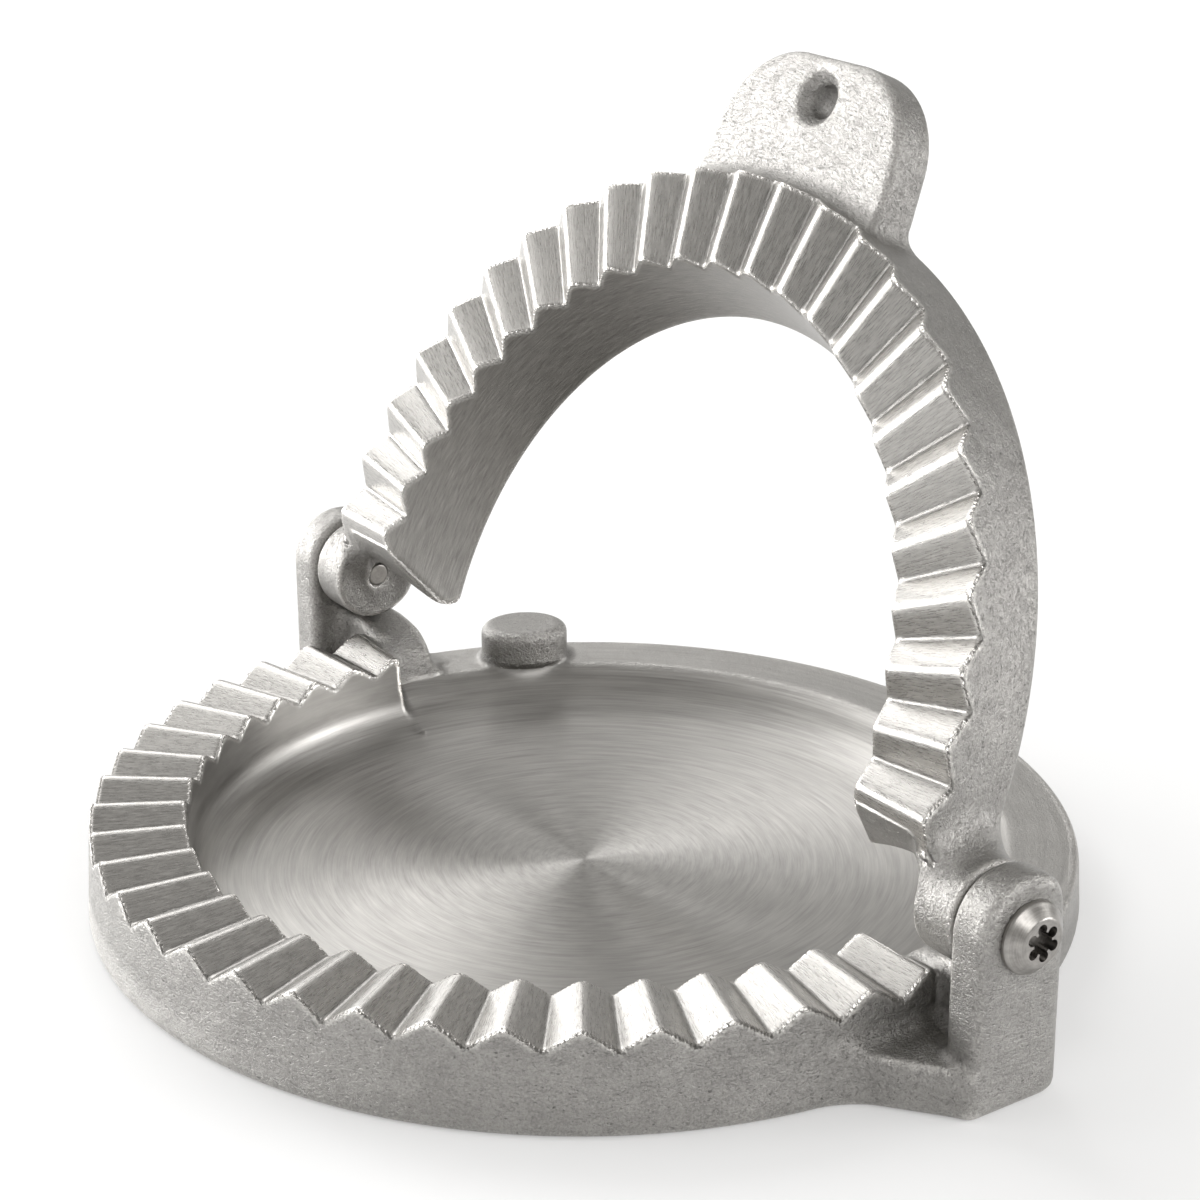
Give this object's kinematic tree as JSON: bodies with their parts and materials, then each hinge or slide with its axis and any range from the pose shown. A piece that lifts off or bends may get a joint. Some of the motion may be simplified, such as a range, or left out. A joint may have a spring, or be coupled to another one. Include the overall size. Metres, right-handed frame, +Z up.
{
  "type": "empanada press",
  "caption": "Hand press for filled dough rounds: shallow dish with a toothed half rim, and a hinged toothed half ring that crimps the edge.",
  "frame": {"origin": "centre of the dish's underside, on the table", "axes": "+Z up, X along the hinge axis, -Y toward the middle tooth of the rim, where the tab lies when the press is closed"},
  "size_m": [0.1828, 0.1518, 0.1226],
  "materials": {
    "base_casting": "cast, with a turned satin dish and ground teeth",
    "arch_casting": "cast, with ground teeth and a ground inner wall",
    "screws": "plain stainless"
  },
  "bodies": {
    "base": {"base": "base_casting"},
    "arch": {"arch": "arch_casting", "screw_right": "screws", "screw_left": "screws"}
  },
  "joints": [
    {"name": "arch_hinge", "type": "hinge", "parent": "base", "child": "arch", "pos_m": [0, 0.0088, 0.0256], "axis": [1, 0, 0], "range_deg": [-76, 114]}
  ]
}
